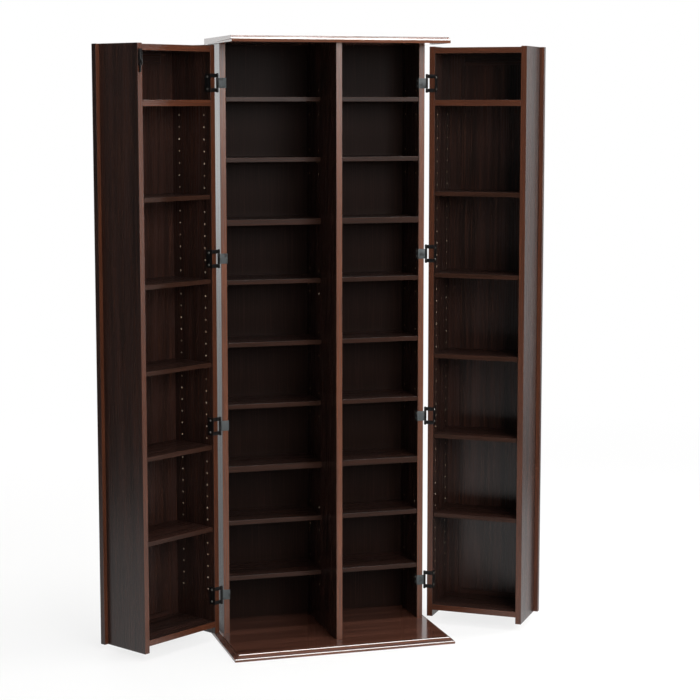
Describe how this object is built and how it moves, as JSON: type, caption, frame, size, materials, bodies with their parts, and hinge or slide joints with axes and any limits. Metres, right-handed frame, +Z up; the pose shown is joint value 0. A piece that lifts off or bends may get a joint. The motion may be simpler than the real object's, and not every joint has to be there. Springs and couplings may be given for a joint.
{
  "type": "media storage cabinet",
  "caption": "Tall double-column disc cabinet with a moulded base and top, fixed and adjustable shelves, and deep hinged box doors that carry shelves of their own.",
  "frame": {"origin": "on the floor, at the centre of the base panel's underside", "axes": "+X to the right as seen from the front, -Y towards the user, +Z up"},
  "size_m": [1.246, 0.3646, 1.624],
  "materials": {
    "espresso_laminate": "satin",
    "back_hardboard": "satin",
    "black_hardware": "satin",
    "bright_steel": "satin",
    "bare_wood": "matte"
  },
  "bodies": {
    "cabinet": {"base_panel": "espresso_laminate", "top_panel": "espresso_laminate", "left_side": "espresso_laminate", "right_side": "espresso_laminate", "centre_divider": "espresso_laminate", "left_low_fixed_shelf": "espresso_laminate", "left_high_fixed_shelf": "espresso_laminate", "left_lower_shelves": "espresso_laminate", "left_middle_shelves": "espresso_laminate", "left_upper_shelves": "espresso_laminate", "left_back": "back_hardboard", "left_shelf_pins": "bright_steel", "left_cabinet_leaves": "black_hardware", "left_cabinet_leaf_screws": "bright_steel", "left_hinge_pins": "black_hardware", "right_low_fixed_shelf": "espresso_laminate", "right_high_fixed_shelf": "espresso_laminate", "right_lower_shelves": "espresso_laminate", "right_middle_shelves": "espresso_laminate", "right_upper_shelves": "espresso_laminate", "right_back": "back_hardboard", "right_shelf_pins": "bright_steel", "right_cabinet_leaves": "black_hardware", "right_cabinet_leaf_screws": "bright_steel", "right_hinge_pins": "black_hardware", "back_nails": "bright_steel", "shelf_dowels": "bare_wood", "top_dowels": "bare_wood", "base_screws": "bright_steel"},
    "left_door": {"left_door_hinge_side": "espresso_laminate", "left_door_free_side": "espresso_laminate", "left_door_top": "espresso_laminate", "left_door_bottom": "espresso_laminate", "left_door_fixed_shelf": "espresso_laminate", "left_door_shelves": "espresso_laminate", "left_door_stiles": "espresso_laminate", "left_door_rails": "espresso_laminate", "left_door_panel": "espresso_laminate", "left_door_shelf_pins": "bright_steel", "left_door_knob": "black_hardware", "left_door_leaves": "black_hardware", "left_door_leaf_screws": "bright_steel", "bolt_housing": "black_hardware", "bolt_screws": "bright_steel"},
    "right_door": {"right_door_hinge_side": "espresso_laminate", "right_door_free_side": "espresso_laminate", "right_door_top": "espresso_laminate", "right_door_bottom": "espresso_laminate", "right_door_fixed_shelf": "espresso_laminate", "right_door_shelves": "espresso_laminate", "right_door_stiles": "espresso_laminate", "right_door_rails": "espresso_laminate", "right_door_panel": "espresso_laminate", "right_door_shelf_pins": "bright_steel", "right_door_knob": "black_hardware", "right_door_leaves": "black_hardware", "right_door_leaf_screws": "bright_steel"},
    "bolt": {"bolt": "black_hardware"}
  },
  "joints": [
    {"name": "left_door_hinge", "type": "hinge", "parent": "cabinet", "child": "left_door", "pos_m": [-0.2912, 0.0361, 0.8], "axis": [0, 0, -1], "range_deg": [-148, 30]},
    {"name": "right_door_hinge", "type": "hinge", "parent": "cabinet", "child": "right_door", "pos_m": [0.2912, 0.0361, 0.8], "axis": [0, 0, 1], "range_deg": [-143.7, 34.3]},
    {"name": "bolt_slide", "type": "slide", "parent": "left_door", "child": "bolt", "axis": [0, 0, 1], "range_m": [0, 0.026]}
  ]
}
